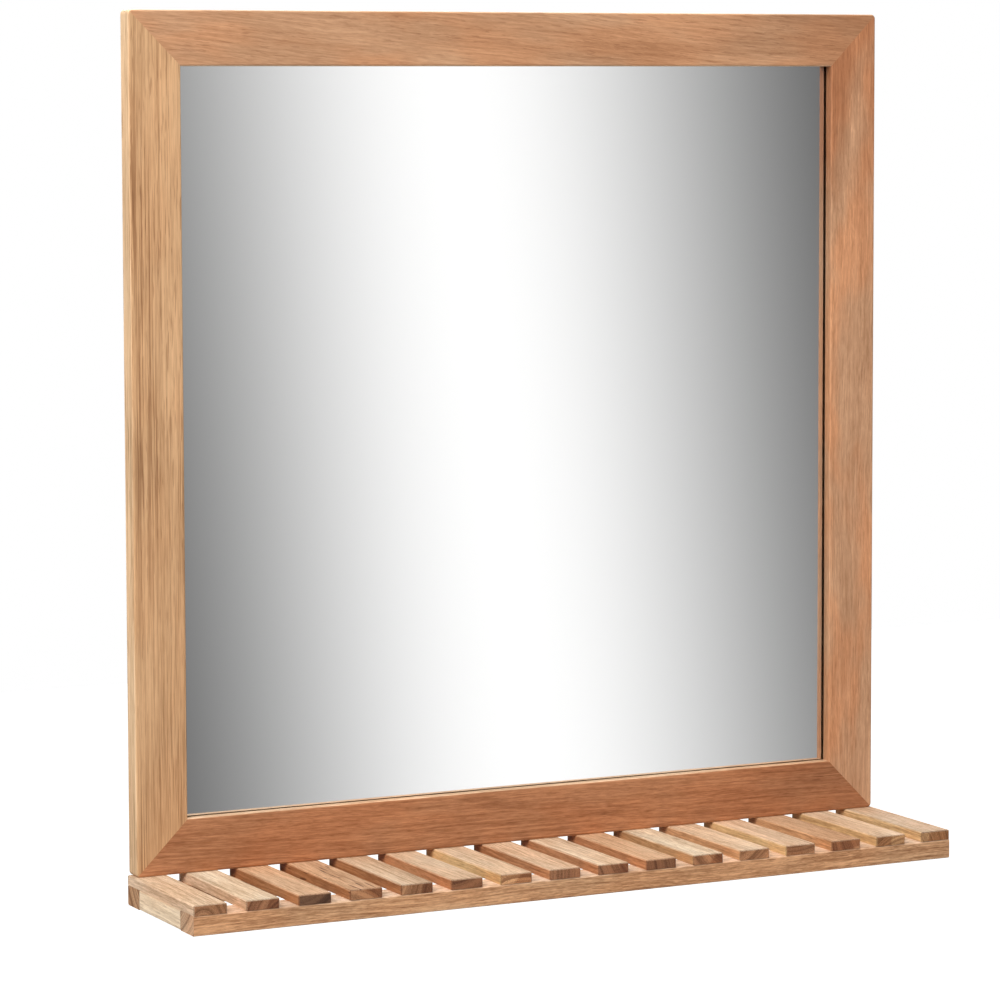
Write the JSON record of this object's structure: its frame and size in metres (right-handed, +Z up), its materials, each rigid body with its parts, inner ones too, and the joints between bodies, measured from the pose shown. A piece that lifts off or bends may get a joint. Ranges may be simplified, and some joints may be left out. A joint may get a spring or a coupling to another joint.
{
  "type": "bathroom mirror",
  "caption": "Square wall mirror in a mitred wooden frame, standing at the back of a narrow slatted wooden shelf.",
  "frame": {"origin": "in the wall plane, midway between the entry holes of the two keyhole plates", "axes": "+X to the right as seen from the front, +Y out of the back into the wall, +Z up"},
  "size_m": [0.6, 0.12, 0.62],
  "materials": {
    "stile_wood": "oiled",
    "rail_wood": "oiled",
    "shelf_rail_wood": "oiled",
    "end_rail_wood": "oiled",
    "slat_wood": "oiled",
    "spline_wood": "matt",
    "mirror": "polished",
    "hardboard": "matt",
    "zinc_steel": "zinc plated"
  },
  "bodies": {
    "root": {"left_stile": "stile_wood", "right_stile": "stile_wood", "top_rail": "rail_wood", "bottom_rail": "rail_wood", "corner_splines": "spline_wood", "mirror_glass": "mirror", "back_board": "hardboard", "glazing_points": "zinc_steel", "hanger_screws": "zinc_steel", "shelf_screws": "zinc_steel", "slat_brads": "zinc_steel", "left_hanger": "zinc_steel", "right_hanger": "zinc_steel", "shelf_front_rail": "shelf_rail_wood", "shelf_rear_rail": "shelf_rail_wood", "shelf_left_end_rail": "end_rail_wood", "shelf_right_end_rail": "end_rail_wood", "slat_01": "slat_wood", "slat_02": "slat_wood", "slat_03": "slat_wood", "slat_04": "slat_wood", "slat_05": "slat_wood", "slat_06": "slat_wood", "slat_07": "slat_wood", "slat_08": "slat_wood", "slat_09": "slat_wood", "slat_10": "slat_wood", "slat_11": "slat_wood", "slat_12": "slat_wood", "slat_13": "slat_wood", "slat_14": "slat_wood", "slat_15": "slat_wood", "slat_16": "slat_wood"}
  },
  "joints": []
}
